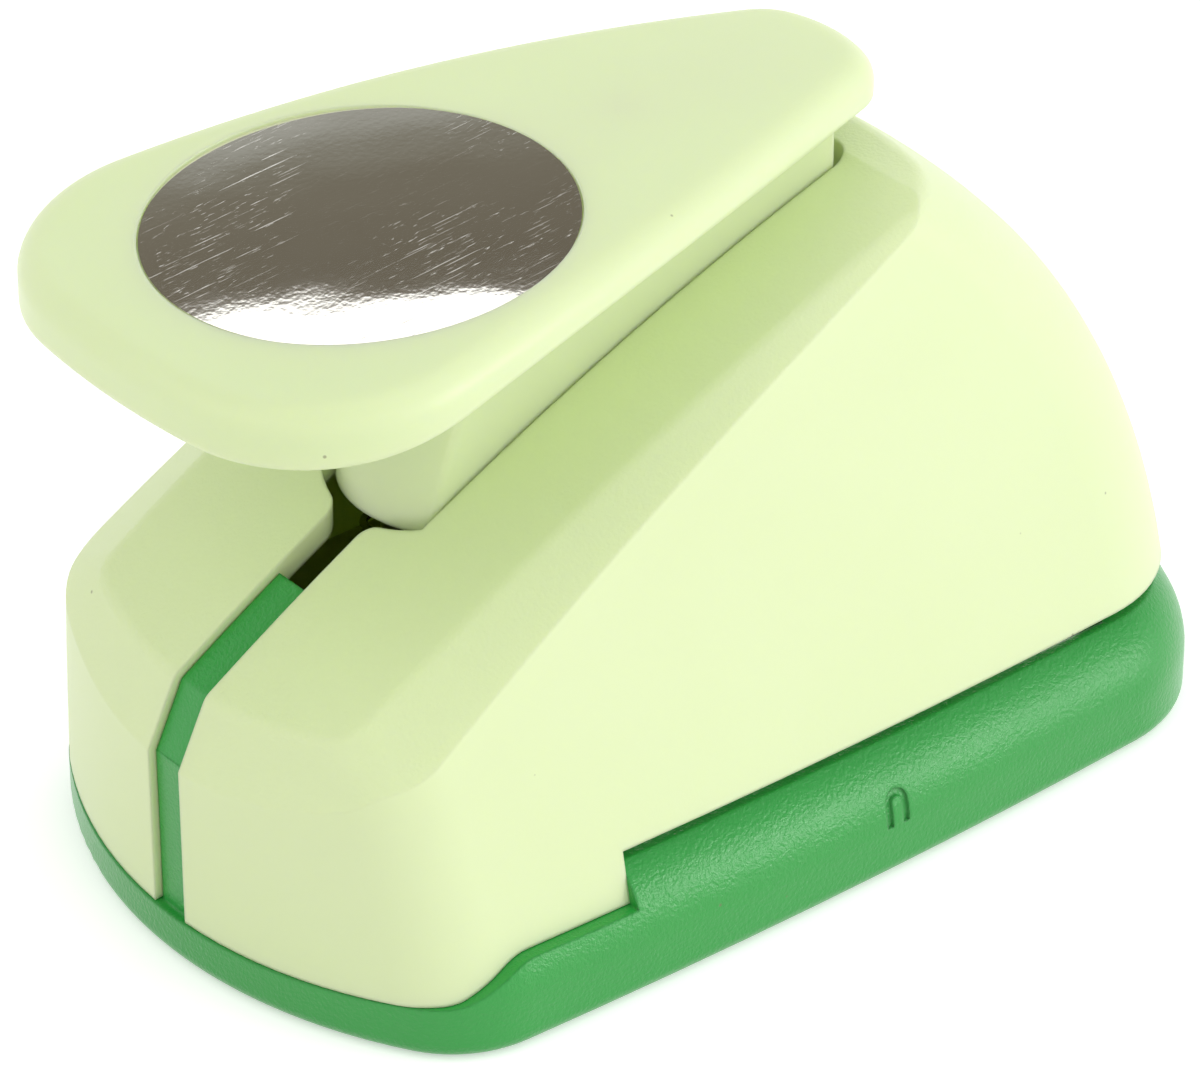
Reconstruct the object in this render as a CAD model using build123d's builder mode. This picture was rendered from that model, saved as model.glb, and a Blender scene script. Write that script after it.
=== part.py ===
from build123d import *
import math
import os

# A lever circle punch for paper and card. The user slides paper into the thin throat between
# the green base and the pale housing, then presses the paddle at the low end. The lever turns
# about a pin at the tall end and drives a round punch through the die plate.
#
# Frame: X runs along the punch, from the low end (-X) to the tall end (+X), Y is across it,
# Z is up. Everything is symmetric about Y = 0. The lengths below are measured from the middle of
# the base's underside. The paddle overhangs the base's low end, so each finished piece is moved
# along X by half of that overhang. That puts the origin under the middle of the whole punch.

os.makedirs("parts", exist_ok=True)

# Driving dimensions of the whole punch
base_length = 108.0
base_width = 63.6
punch_diameter = 38.0
punch_x = 6.2
pivot_x = 36.0
pivot_z = 22.5
throat_stop_x = -25.1
overrun = 20.0

# Heights of the throat and of the metal frame in it
deck_height = 12.4
die_top = 12.9
paper_gap = 1.2
guide_thickness = 2.5
guide_run = 7.0
spacer_run = 8.0
die_thickness = 1.5
guide_bottom = die_top + paper_gap
guide_top = guide_bottom + guide_thickness

# Clearances
seam_gap = 0.1
fit_gap = 0.3
slot_gap = 0.3
punch_clearance = 0.06
pin_clearance = 0.04
screw_clearance = 0.15
touch_gap = 0.05

# A face is level rather than upright when its normal's Z is over this share
level_share = 0.5

# Base
base_end_radius = 48.0
base_side_bow = 1.3
base_low_corner_radius = 11.5
base_tall_corner_radius = 15.0
base_bulge_height = 4.9
base_shoulder_radius = 9.6
base_foot_round = 1.6
shoulder_shares = (0.0, 0.35, 0.7, 1.0)
base_wall = 5.2
base_ceiling = 8.9
ledge_front_height = 2.9
ledge_corner_height = 5.6
ledge_corner_run = 10.5
ledge_rear_height = 8.7
ledge_rear_run = 16.5
ledge_round = 5.0
rib_half_width = 2.0
rib_recess = 0.7
rib_run = 14.9
mark_x = 4.5
mark_width = 2.6
mark_line = 0.7
mark_low = 5.4
mark_arch_z = 7.6
mark_depth = 0.35
chute_radius = 20.0
chute_wall = 1.8
boss_radius = 3.6

# Bottom cover
cover_rim = 3.6
cover_thickness = 1.6
cover_screw_places = ((-36.0, 17.0), (44.0, 15.0))

# Fasteners
screw_radius = 1.3
screw_head_radius = 2.5
screw_head_height = 1.5
drive_width = 1.1
drive_depth = 0.7
cover_screw_length = 6.0
die_screw_length = 4.6
carriage_screw_length = 7.0
housing_screw_length = 19.0
frame_screw_length = 9.0
paddle_screw_length = 9.0
paddle_screw_bite = 3.2
paddle_screw_xs = (-14.0, -2.0)
die_screw_reach = (23.5, 22.5)
housing_screw_run = 12.0
housing_screw_reach = 11.0
frame_screw_place = (41.0, 16.0)

# Housing
housing_set_back = 0.2
housing_half_width = 28.7
housing_lip_height = 13.8
housing_draft_share = 0.20
housing_low_radius = 49.0
housing_tall_radius = 50.0
housing_side_bow = 1.3
housing_foot_z = 2.0
housing_crown_z = 64.0
low_corner_at_foot = 10.0
low_corner_at_crown = 7.5
tall_corner_at_foot = 17.0
tall_corner_at_crown = 9.8
section_shares = (0.0, 0.23, 0.42, 0.58, 0.71, 0.82, 0.92, 1.0)
nose_high = (22.5, 59.9)
nose_low = (51.0, 18.0)
nose_radius = 68.0
housing_wall = 2.4
top_low = (-53.7, 25.4)
top_mid = (-15.0, 46.35)
top_tall = (18.7, 59.0)
top_slope_degrees = 25.0
bevel_half_width = 18.6
bevel_angle = 31.0
bevel_tall_drop = 0.4
bevel_tall_slope = 0.276
bevel_low_z = 20.6
low_run = 6.2
top_low_fall = 4.4
front_bevel_z = 20.8
front_bevel_angle = 64.0
front_bevel_radius = 77.0
bevel_corner_radius = 7.0
peak_radius = 2.0
top_crease_radius = 2.0
crease_end_x = 15.0

# Slots in the housing's top
rib_slot_half = 2.22
web_half_width = 6.95
slot_half_width = web_half_width + slot_gap
slot_front_x = -32.6
slot_rear_x = 19.6
slot_corner_radius = 3.0
slot_mouth_radius = 1.8
skirt_depth = 4.5
skirt_wall = 1.8
skirt_set_back = 9.0

# Lever: the web's front face is an arc about the pivot, so its gap to the slot stays the same
web_front_radius = 69.0
web_nose_bulge = 2.2
web_corner_round = 0.8
web_rear_x = 17.0
web_wall = 2.0
web_below_top = 5.0
web_toe_z = 37.6
web_toe_x = -20.5
web_toe_step = 1.0
web_belly_z = 38.5
paddle_low_x = -57.5
paddle_tall_x = 23.8
paddle_low_half = 26.3
paddle_tall_half = 7.6
paddle_mid_half = 20.3
paddle_low_bow = 3.8
paddle_tall_bow = 2.2
paddle_low_corner = 16.0
paddle_tall_corner = 6.5
paddle_low_thickness = 4.9
paddle_pad_thickness = 5.2
paddle_waist_thickness = 3.7
paddle_tall_thickness = 4.9
paddle_pad_x = -43.0
paddle_waist_x = -16.0
paddle_top_round = 2.6
paddle_bottom_round = 0.8
disc_x = -30.9
disc_z = 66.8
paddle_tilt_angle = 4.6
paddle_low_arch_radius = 563.0
paddle_tall_arch_radius = 450.0
disc_thickness = 0.25
disc_recess = 0.6
disc_gap = 0.15
lever_half_width = 4.7
arm_half_width = 7.0
arm_start_x = -1.0
arm_top_z = 44.0
arm_chin_z = 36.0
arm_block_z = 33.6
arm_block_low_x = 1.5
arm_block_tall_x = 11.0
arm_knee = (26.0, 28.6)
arm_heel = (31.6, 20.1)
arm_back = (39.6, 26.0)
arm_shoulder_x = 23.5
core_bottom_z = 39.5
hub_radius = 5.0
press_pin_radius = 3.0
press_pin_half_length = 6.8
press_pin_gap = 0.3

# Punch, carriage and springs
punch_lift = 0.4
punch_rest_z = guide_bottom + punch_lift
carriage_bottom = 28.0
carriage_thickness = 3.0
carriage_half_width = 22.0
carriage_corner = 4.0
carriage_notch_x = 15.0
carriage_notch_half = 7.8
punch_bore_radius = 13.0
punch_bore_floor = 17.5
punch_hollow = 1.0
carriage_screw_circle = 16.0
carriage_screw_angles = (50.0, 130.0, 230.0, 310.0)
wear_half = 7.0
wear_thickness = 1.2
guide_pin_reach = (20.5, 17.5)
guide_pin_radius = 1.5
guide_pin_height = 8.0
guide_pin_hole_radius = 1.8
spring_outer_radius = 3.5
spring_wire = 0.8
stop_post_radius = 2.4

# Pivot
pivot_pin_radius = 2.0
ear_gap = 0.6
ear_thickness = 2.2
ear_half_length = 5.5
pin_overhang = 1.6
clip_groove_depth = 0.5
clip_thickness = 0.6
clip_radius = 3.6
clip_mouth = 2.4
washer_radius = 4.2
washer_thickness = 0.45


def bow_of(radius, half):
    """Depth of an arc of this radius over this half chord."""
    return radius - math.sqrt(radius ** 2 - half ** 2)


def plan_outline(level, low_x, tall_x, low_half, tall_half, mid_half, low_bow, tall_bow, low_round,
                 tall_round):
    """A closed outline seen from above: bowed ends, bowed sides and four round corners."""
    low_corner_x = low_x + low_bow
    tall_corner_x = tall_x - tall_bow
    mid_x = (low_corner_x + tall_corner_x) / 2
    with BuildSketch(Plane.XY.offset(level), mode=Mode.PRIVATE) as outline:
        with BuildLine():
            ThreePointArc((low_corner_x, -low_half), (low_x, 0), (low_corner_x, low_half))
            ThreePointArc((low_corner_x, low_half), (mid_x, mid_half), (tall_corner_x, tall_half))
            ThreePointArc((tall_corner_x, tall_half), (tall_x, 0), (tall_corner_x, -tall_half))
            ThreePointArc((tall_corner_x, -tall_half), (mid_x, -mid_half), (low_corner_x, -low_half))
        make_face()
        fillet(outline.vertices().sort_by(Axis.X)[:2], low_round)
        fillet(outline.vertices().sort_by(Axis.X)[-2:], tall_round)
    return outline.sketch


def base_outline(level, inset):
    """The base's outline at a height, drawn in by an inset."""
    half = base_width / 2 - inset
    end = base_length / 2 - inset
    bow = bow_of(base_end_radius, half - base_side_bow)
    low_corner = base_low_corner_radius - inset
    tall_corner = base_tall_corner_radius - inset
    side = half - base_side_bow
    return plan_outline(level, -end, end, side, side, half, bow, bow, low_corner, tall_corner)


def shoulder_inset(level):
    """How far the base's curved side has come in at a height above its widest part."""
    rise = level - base_bulge_height
    return base_shoulder_radius - math.sqrt(base_shoulder_radius ** 2 - rise ** 2)


def nose_x(level, inset):
    """How far the housing's round tall end reaches along X at a height."""
    high_x, high_z = nose_high
    low_x, low_z = nose_low
    chord = math.hypot(low_x - high_x, low_z - high_z)
    rise = math.sqrt(nose_radius ** 2 - (chord / 2) ** 2)
    centre_x = (high_x + low_x) / 2 + rise * (low_z - high_z) / chord
    centre_z = (high_z + low_z) / 2 - rise * (low_x - high_x) / chord
    reach = nose_radius - inset
    return centre_x + math.sqrt(reach ** 2 - (level - centre_z) ** 2)


def housing_outline(level, inset):
    """The housing's outline at a height: its sides lean in and its tall end rounds over."""
    share = (level - housing_foot_z) / (housing_crown_z - housing_foot_z)
    half = housing_half_width - housing_draft_share * (level - housing_lip_height) - inset
    corner_half = half - housing_side_bow
    low_bow = bow_of(housing_low_radius, corner_half)
    tall_bow = bow_of(housing_tall_radius, corner_half)
    low_round = low_corner_at_foot + share * (low_corner_at_crown - low_corner_at_foot) - inset
    tall_round = tall_corner_at_foot + share * (tall_corner_at_crown - tall_corner_at_foot) - inset
    low_x = housing_low_x + inset
    tall_x = nose_x(level, inset)
    return plan_outline(level, low_x, tall_x, corner_half, corner_half, half, low_bow, tall_bow,
                        low_round, tall_round)


def housing_form(inset):
    """The housing's outside form, or with an inset the hollow inside it."""
    slope = math.cos(math.radians(top_slope_degrees))
    bevel = math.radians(bevel_angle)
    outer_x = housing_low_x - low_run
    tall_end_x = top_tall[0] + 2 * overrun
    front = math.radians(front_bevel_angle)
    top_drop = inset / slope
    bevel_drop = inset / (slope * math.cos(bevel)) - bevel_half_width * math.tan(bevel)
    with BuildPart(mode=Mode.PRIVATE) as form:
        for share in section_shares:
            add(housing_outline(housing_foot_z + share * (housing_crown_z - housing_foot_z), inset))
        loft()
        with BuildSketch(Plane.XZ):
            with BuildLine():
                arch = ThreePointArc((top_low[0], top_low[1] - top_drop),
                                     (top_mid[0], top_mid[1] - top_drop),
                                     (top_tall[0], top_tall[1] - top_drop))
                Polyline(arch @ 1, (tall_end_x, top_tall[1] - top_drop), (tall_end_x, -overrun),
                         (outer_x, -overrun), (outer_x, top_low[1] - top_low_fall - top_drop), arch @ 0)
            make_face()
        extrude(amount=base_width, both=True, mode=Mode.INTERSECT)
        for side in (-1, 1):
            with BuildSketch(Plane.XZ):
                with BuildLine():
                    arch = ThreePointArc((outer_x, bevel_low_z - bevel_drop),
                                         (top_mid[0], top_mid[1] - bevel_drop),
                                         (top_tall[0], top_tall[1] - bevel_tall_drop - bevel_drop))
                    rise = (tall_end_x - top_tall[0]) * bevel_tall_slope
                    Polyline(arch @ 1, (tall_end_x, (arch @ 1).Y + rise), (tall_end_x, base_length),
                             (outer_x, base_length), arch @ 0)
                make_face()
            lean = (0, side * math.cos(bevel), -math.sin(bevel))
            extrude(amount=base_width, dir=lean, mode=Mode.SUBTRACT)
    front_x = housing_low_x + inset / math.sin(front)
    edge = base_width / 2 + slot_corner_radius
    edge_x = front_x + bow_of(front_bevel_radius, edge)
    with BuildSketch(Plane.XY.offset(front_bevel_z), mode=Mode.PRIVATE) as front_face:
        with BuildLine():
            ThreePointArc((edge_x, -edge), (front_x, 0), (edge_x, edge))
            Polyline((edge_x, edge), (front_x - overrun, edge), (front_x - overrun, -edge), (edge_x, -edge))
        make_face()
    rise = (math.cos(front), 0, math.sin(front))
    return form.part - extrude(front_face.sketch, amount=overrun, dir=rise, mode=Mode.PRIVATE)


def shared_edges(faces_a, faces_b):
    """The edges where a face of one list meets a face of the other."""
    found = []
    for face_a in faces_a:
        for edge_a in face_a.edges():
            for face_b in faces_b:
                for edge_b in face_b.edges():
                    if (edge_a.center() - edge_b.center()).length < touch_gap:
                        found.append(edge_b)
    return found


def housing_skin():
    """The housing's outside form with its creases and its peak rounded."""
    form = housing_form(0)
    bevels = form.faces().filter_by(GeomType.EXTRUSION)
    front = bevels.sort_by(Axis.X)[:1]
    form = form.fillet(bevel_corner_radius, shared_edges(front, bevels.sort_by(Axis.X)[1:]))
    high = [face for face in form.faces() if face.center().Z > top_mid[1] - top_low[1]]
    central = [face for face in high if abs(face.center().Y) < touch_gap]
    top = [face for face in central if face.geom_type in (GeomType.PLANE, GeomType.CYLINDER)]
    nose = [face for face in form.faces().filter_by(GeomType.BSPLINE) if face.center().X > top_mid[0]]
    peak = [edge for edge in shared_edges(nose, top) if edge.length > peak_radius]
    form = form.fillet(peak_radius, peak)
    top = form.faces().filter_by(GeomType.CYLINDER).sort_by(SortBy.AREA)[-1:]
    rest = [face for face in form.faces() if (face.center() - top[0].center()).length > touch_gap]
    crease = [edge for edge in shared_edges(rest, top) if edge.center().X < crease_end_x]
    return form.fillet(top_crease_radius, crease)


def ledge_line():
    """The seam between base and housing in side view, drawn as a closed cutting shape above it."""
    low = -base_length / 2 - overrun
    with BuildSketch(Plane.XZ, mode=Mode.PRIVATE) as shape:
        with BuildLine():
            FilletPolyline((low, ledge_front_height), (ledge_corner_x, ledge_corner_height),
                           (ledge_rear_x, ledge_rear_height), (throat_stop_x, ledge_rear_height),
                           radius=ledge_round)
            Polyline((throat_stop_x, ledge_rear_height), (throat_stop_x, base_length),
                     (low, base_length), (low, ledge_front_height))
        make_face()
    return shape.sketch


def mark_bar(half):
    """A bar across the base with a round top, which draws the index marks on its sides."""
    with BuildPart(mode=Mode.PRIVATE) as bar:
        with BuildSketch(Plane.XZ):
            with Locations((mark_x, mark_arch_z)):
                Circle(half)
            with Locations((mark_x, (mark_low + mark_arch_z) / 2)):
                Rectangle(2 * half, mark_arch_z - mark_low)
        extrude(amount=base_width, both=True)
    return bar.part


def screw(head_z, length, direction):
    """A cross-slotted countersunk screw on the Z axis: its flat head face is at head_z."""
    with BuildPart(mode=Mode.PRIVATE) as body:
        with BuildSketch(Plane.XZ):
            with BuildLine():
                head = screw_head_height * direction
                tip = length * direction
                Polyline((0, head_z), (screw_head_radius, head_z), (screw_radius, head_z + head),
                         (screw_radius, head_z + tip - direction * screw_radius), (0, head_z + tip),
                         (0, head_z))
            make_face()
        revolve(axis=Axis.Z)
        with BuildSketch(Plane.XY.offset(head_z)):
            Rectangle(2 * screw_radius, drive_width)
            Rectangle(drive_width, 2 * screw_radius)
        extrude(amount=drive_depth * direction, mode=Mode.SUBTRACT)
    return body.part


def mirrored_places(x, y):
    """A place and its mirror image across the middle plane."""
    return [(x, -y), (x, y)]


# places that follow the base's low end
low_end_x = -base_length / 2
ledge_corner_x = low_end_x + ledge_corner_run
ledge_rear_x = low_end_x + ledge_rear_run
rib_end_x = low_end_x + rib_run
housing_low_x = low_end_x + housing_set_back

cover_places = [place for x, y in cover_screw_places for place in mirrored_places(x, y)]
die_places = [(punch_x + side * die_screw_reach[0], y) for side in (-1, 1)
              for y in (-die_screw_reach[1], die_screw_reach[1])]
pin_places = [(punch_x + side * guide_pin_reach[0], y) for side in (-1, 1)
              for y in (-guide_pin_reach[1], guide_pin_reach[1])]
housing_screw_places = mirrored_places(low_end_x + housing_screw_run, housing_screw_reach)
frame_screw_places = mirrored_places(*frame_screw_place)
carriage_screw_places = [(punch_x + carriage_screw_circle * math.cos(math.radians(angle)),
                          carriage_screw_circle * math.sin(math.radians(angle)))
                         for angle in carriage_screw_angles]
die_bottom = die_top - die_thickness
die_half_width = 26.3
die_low_x = throat_stop_x + fit_gap
die_tall_x = 34.0
die_corner = 3.0
spacer_low_x = low_end_x + spacer_run
guide_low_x = low_end_x + guide_run
carriage_reach = pivot_x - ear_half_length - fit_gap - punch_x
carriage_top = carriage_bottom + carriage_thickness
wear_top = carriage_top + wear_thickness
press_pin_z = wear_top + press_pin_gap + press_pin_radius

frame_shift = -(paddle_low_x + base_length / 2) / 2
inner_inset = housing_wall + fit_gap
low_block = low_end_x - overrun
slab_mid = paddle_waist_thickness / 2


def save(piece, name):
    """Move a finished piece into the shared frame, name it and write its file."""
    moved = Pos(frame_shift, 0, 0) * piece
    moved.label = name
    export_step(moved, "parts/" + name + ".step")


def prism(sketch, low, high):
    """A straight prism of a level sketch between two heights, on its own."""
    return extrude(Pos(0, 0, low) * sketch, amount=high - low, mode=Mode.PRIVATE)


def side_prism(points, half):
    """A straight prism of a side-view polygon, out to the same distance on both sides."""
    with BuildSketch(Plane.XZ, mode=Mode.PRIVATE) as side:
        with BuildLine():
            Polyline(*points, points[0])
        make_face()
    return extrude(side.sketch, amount=half, both=True, mode=Mode.PRIVATE)


def level_box(low, high, half, bottom, top):
    """A box given by its two ends along X, its half width and its two heights."""
    size = (high - low, 2 * half, top - bottom)
    block = Box(*size, align=(Align.CENTER, Align.CENTER, Align.MIN), mode=Mode.PRIVATE)
    return Pos((low + high) / 2, 0, bottom) * block


def base_form(inset):
    """The base's outside form: straight foot, then a curved shoulder up to the deck."""
    levels = [base_bulge_height + share * (deck_height - base_bulge_height) for share in shoulder_shares]
    with BuildPart(mode=Mode.PRIVATE) as form:
        add(base_outline(0, inset))
        extrude(amount=base_bulge_height)
        for level in levels:
            add(base_outline(level, shoulder_inset(level) + inset))
        loft()
    return form.part


def holes(places, radius, low, high):
    """Plain round holes, or pins, at some places between two heights."""
    with BuildPart(mode=Mode.PRIVATE) as group:
        with Locations(*[(x, y, low) for x, y in places]):
            Cylinder(radius, high - low, align=(Align.CENTER, Align.CENTER, Align.MIN))
    return group.part


def screw_group(places, head_z, length, direction):
    """The same screw at several places."""
    with BuildPart(mode=Mode.PRIVATE) as group:
        with Locations(*[(x, y, 0) for x, y in places]):
            add(screw(head_z, length, direction))
    return group.part


def head_seats(places, head_z, direction):
    """Countersinks for the screws' heads, a little larger than the heads."""
    wide = screw_head_radius + screw_clearance
    narrow = screw_radius + screw_clearance
    with BuildPart(mode=Mode.PRIVATE) as group:
        with Locations(*[(x, y, 0) for x, y in places]):
            with BuildPart(mode=Mode.PRIVATE) as seat:
                with BuildSketch(Plane.XZ):
                    with BuildLine():
                        depth = head_z + direction * screw_head_height
                        Polyline((0, head_z), (wide, head_z), (narrow, depth), (0, depth), (0, head_z))
                    make_face()
                revolve(axis=Axis.Z)
            add(seat.part)
    return group.part


def web_drum(inset, half):
    """A drum about the pivot. Its bulging rim is the front face of the lever's web."""
    rim = pivot_x - web_front_radius + inset
    with BuildPart(mode=Mode.PRIVATE) as drum:
        with BuildSketch(Plane.XY.offset(pivot_z)) as slice_face:
            with BuildLine():
                ThreePointArc((rim + web_nose_bulge, -half), (rim, 0), (rim + web_nose_bulge, half))
                Polyline((rim + web_nose_bulge, half), (pivot_x, half), (pivot_x, -half),
                         (rim + web_nose_bulge, -half))
            make_face()
            fillet(slice_face.vertices().sort_by(Axis.X)[:2], web_corner_round)
        revolve(axis=Axis((pivot_x, 0, pivot_z), (0, 1, 0)))
    return drum.part


def paddle_top_z(x):
    """Height of the paddle's arched, tilted top along its middle line."""
    run = x - disc_x
    arch_radius = paddle_tall_arch_radius if run > 0 else paddle_low_arch_radius
    return disc_z + math.tan(math.radians(paddle_tilt_angle)) * run - run ** 2 / (2 * arch_radius)


def paddle_under(x, thickness):
    """A side-view point of the blade's underside, below its top."""
    return (x, paddle_top_z(x) - thickness)


# Base: a shallow tray with a curved shoulder, open underneath, and the rib that fills the slot
with BuildPart() as base:
    add(base_form(0))
    fillet(base.edges().group_by(Axis.Z)[0], base_foot_round)
    # the seat of the housing's low end, around an island that stands inside the housing
    seat = extrude(ledge_line(), amount=base_width, both=True, mode=Mode.PRIVATE)
    island = prism(base_outline(0, inner_inset), 0, base_length) & housing_form(inner_inset)
    add(seat - island, mode=Mode.SUBTRACT)
    # the rib follows the housing's outside, set back a little
    rib_block = level_box(low_block, rib_end_x, rib_half_width, ledge_front_height, base_length)
    add(housing_form(rib_recess) & rib_block)
    # the tray's inside
    add(prism(base_outline(0, base_wall), 0, base_ceiling), mode=Mode.SUBTRACT)
    add(prism(base_outline(0, cover_rim), 0, cover_thickness), mode=Mode.SUBTRACT)
    # the chip chute's tube and the screw bosses
    add(holes([(punch_x, 0)], chute_radius + chute_wall, cover_thickness, base_ceiling))
    add(holes(cover_places + die_places, boss_radius, cover_thickness, base_ceiling))
    add(level_box(die_low_x - fit_gap, die_tall_x + fit_gap, die_half_width + fit_gap, die_bottom,
                  base_length), mode=Mode.SUBTRACT)
    add(holes([(punch_x, 0)], chute_radius, -overrun, base_length), mode=Mode.SUBTRACT)
    add(holes(cover_places, screw_radius + pin_clearance, 0, cover_screw_length), mode=Mode.SUBTRACT)
    add(holes(die_places, screw_radius + pin_clearance, die_top - die_screw_length - fit_gap, base_length),
        mode=Mode.SUBTRACT)
    add(holes(housing_screw_places, screw_radius + screw_clearance, 0, base_length), mode=Mode.SUBTRACT)
    add(head_seats(housing_screw_places, base_ceiling, 1), mode=Mode.SUBTRACT)
    # the arched index marks, one on each side
    mark = mark_bar(mark_width / 2) - mark_bar(mark_width / 2 - mark_line)
    add(mark - base_form(mark_depth), mode=Mode.SUBTRACT)
save(base.part, "base")

# Bottom cover: closes the tray from below, with a round window under the chip chute
with BuildPart() as bottom_cover:
    add(prism(base_outline(0, cover_rim + fit_gap), 0, cover_thickness - touch_gap))
    add(holes([(punch_x, 0)], chute_radius, -overrun, overrun), mode=Mode.SUBTRACT)
    add(holes(cover_places, screw_radius + screw_clearance, -overrun, overrun), mode=Mode.SUBTRACT)
    add(head_seats(cover_places, 0, 1), mode=Mode.SUBTRACT)
save(bottom_cover.part, "bottom_cover")

with BuildPart() as cover_screws:
    add(screw_group(cover_places, 0, cover_screw_length - fit_gap, 1))
save(cover_screws.part, "cover_screws")

# Die plate: the lower blade, let into the base and standing a little proud of it
with BuildPart() as die_plate:
    with BuildSketch(Plane.XY.offset(die_bottom)):
        with Locations(((die_low_x + die_tall_x) / 2, 0)):
            RectangleRounded(die_tall_x - die_low_x, 2 * die_half_width, die_corner)
        with Locations((punch_x, 0)):
            Circle(punch_diameter / 2, mode=Mode.SUBTRACT)
    extrude(amount=die_thickness)
    add(holes(die_places, screw_radius + screw_clearance, 0, base_length), mode=Mode.SUBTRACT)
    add(head_seats(die_places, die_top, -1), mode=Mode.SUBTRACT)
save(die_plate.part, "die_plate")

with BuildPart() as die_screws:
    add(screw_group(die_places, die_top, die_screw_length, -1))
save(die_screws.part, "die_screws")

# Throat spacer: keeps the guide plate above the base at the throat's closed end
with BuildPart() as throat_spacer:
    add(prism(housing_outline(guide_bottom, inner_inset), deck_height - guide_bottom, 0))
    add(prism(base_outline(0, inner_inset), 0, base_length), mode=Mode.INTERSECT)
    add(level_box(spacer_low_x, throat_stop_x, base_width, 0, base_length), mode=Mode.INTERSECT)
    add(level_box(low_block, rib_end_x + fit_gap, rib_half_width + fit_gap, 0, base_length),
        mode=Mode.SUBTRACT)
    add(holes(housing_screw_places, screw_radius + screw_clearance, 0, base_length), mode=Mode.SUBTRACT)
save(throat_spacer.part, "throat_spacer")

# Guide plate: the upper steel plate, which guides the punch and carries the pivot ears
with BuildPart() as guide_plate:
    add(prism(housing_outline(guide_top, inner_inset), guide_bottom - guide_top, 0))
    add(prism(base_outline(0, inner_inset), 0, base_length), mode=Mode.INTERSECT)
    add(level_box(guide_low_x, base_length, base_width, 0, base_length), mode=Mode.INTERSECT)
    add(level_box(low_block, rib_end_x + fit_gap, rib_half_width + fit_gap, 0, base_length),
        mode=Mode.SUBTRACT)
    ear_low = arm_half_width + ear_gap
    for side in (-1, 1):
        with BuildSketch(Plane.XZ.offset(-side * ear_low)):
            with Locations((pivot_x, (guide_bottom + pivot_z) / 2)):
                Rectangle(2 * ear_half_length, pivot_z - guide_bottom)
            with Locations((pivot_x, pivot_z)):
                Circle(ear_half_length)
        extrude(amount=-side * ear_thickness)
    with Locations((pivot_x, 0, pivot_z)):
        Cylinder(pivot_pin_radius + pin_clearance, base_width, rotation=(90, 0, 0), mode=Mode.SUBTRACT)
    add(holes([(punch_x, 0)], punch_diameter / 2, 0, base_length), mode=Mode.SUBTRACT)
    add(holes(pin_places, guide_pin_radius + pin_clearance, 0, base_length), mode=Mode.SUBTRACT)
    add(holes(housing_screw_places + frame_screw_places, screw_radius + screw_clearance, 0, base_length),
        mode=Mode.SUBTRACT)
    add(head_seats(frame_screw_places, guide_bottom, 1), mode=Mode.SUBTRACT)
save(guide_plate.part, "guide_plate")

with BuildPart() as guide_pins:
    add(holes(pin_places, guide_pin_radius, guide_bottom + fit_gap, guide_top + guide_pin_height))
save(guide_pins.part, "guide_pins")

# Return springs: one around each guide pin, between the guide plate and the carriage
for number, place in enumerate(pin_places, start=1):
    with BuildPart() as spring:
        add(holes([place], spring_outer_radius, guide_top, carriage_bottom))
        add(holes([place], spring_outer_radius - spring_wire, 0, base_length), mode=Mode.SUBTRACT)
    save(spring.part, "return_spring_" + str(number))

# Housing: a thin shell with a wide slot for the lever, a narrow slot for the rib, and a skirt
slot_half = slot_half_width
with BuildSketch() as wide_slot:
    with BuildLine():
        ThreePointArc((slot_front_x + web_nose_bulge, -slot_half), (slot_front_x, 0),
                      (slot_front_x + web_nose_bulge, slot_half))
        Polyline((slot_front_x + web_nose_bulge, slot_half), (slot_rear_x, slot_half),
                 (slot_rear_x, -slot_half), (slot_front_x + web_nose_bulge, -slot_half))
    make_face()
    fillet(wide_slot.vertices().sort_by(Axis.X)[-2:], slot_corner_radius)
with BuildSketch() as slot_outline:
    add(wide_slot.sketch)
    with Locations((low_block, 0)):
        Rectangle(slot_front_x + web_nose_bulge - low_block, 2 * rib_slot_half,
                  align=(Align.MIN, Align.CENTER))
    mouth = [point for point in slot_outline.vertices() if abs(point.X - slot_front_x) < web_nose_bulge
             and abs(abs(point.Y) - rib_slot_half) < touch_gap]
    fillet(mouth, slot_mouth_radius)
with BuildSketch() as skirt_outline:
    add(wide_slot.sketch)
    offset(amount=skirt_wall, mode=Mode.REPLACE)
body_cut = extrude(ledge_line(), amount=base_width, both=True)
lip_block = level_box(throat_stop_x, base_length, base_width, housing_lip_height, base_length)
with BuildPart() as housing:
    add(housing_skin())
    add(prism(base_outline(0, 0), 0, base_length), mode=Mode.INTERSECT)
    add((Pos(0, 0, seam_gap) * body_cut) + lip_block, mode=Mode.INTERSECT)
    hollow = housing_form(housing_wall) & prism(base_outline(0, housing_wall), 0, base_length)
    add(hollow, mode=Mode.SUBTRACT)
    # the slot's skirt and the screw bosses hang from the top wall
    core = housing_form(housing_wall / 2)
    skirt = prism(skirt_outline.sketch, 0, base_length) & core - housing_form(skirt_depth)
    add(skirt & level_box(slot_front_x + skirt_set_back, base_length, base_width, 0, base_length))
    add(holes(housing_screw_places + frame_screw_places, boss_radius, guide_top, base_length) & core)
    add(prism(slot_outline.sketch, 0, base_length), mode=Mode.SUBTRACT)
    screw_top = base_ceiling + housing_screw_length + fit_gap
    add(holes(housing_screw_places, screw_radius + pin_clearance, 0, screw_top), mode=Mode.SUBTRACT)
    screw_top = guide_bottom + frame_screw_length + fit_gap
    add(holes(frame_screw_places, screw_radius + pin_clearance, 0, screw_top), mode=Mode.SUBTRACT)
save(housing.part, "housing")

with BuildPart() as housing_screws:
    add(screw_group(housing_screw_places, base_ceiling, housing_screw_length, 1))
save(housing_screws.part, "housing_screws")

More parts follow.
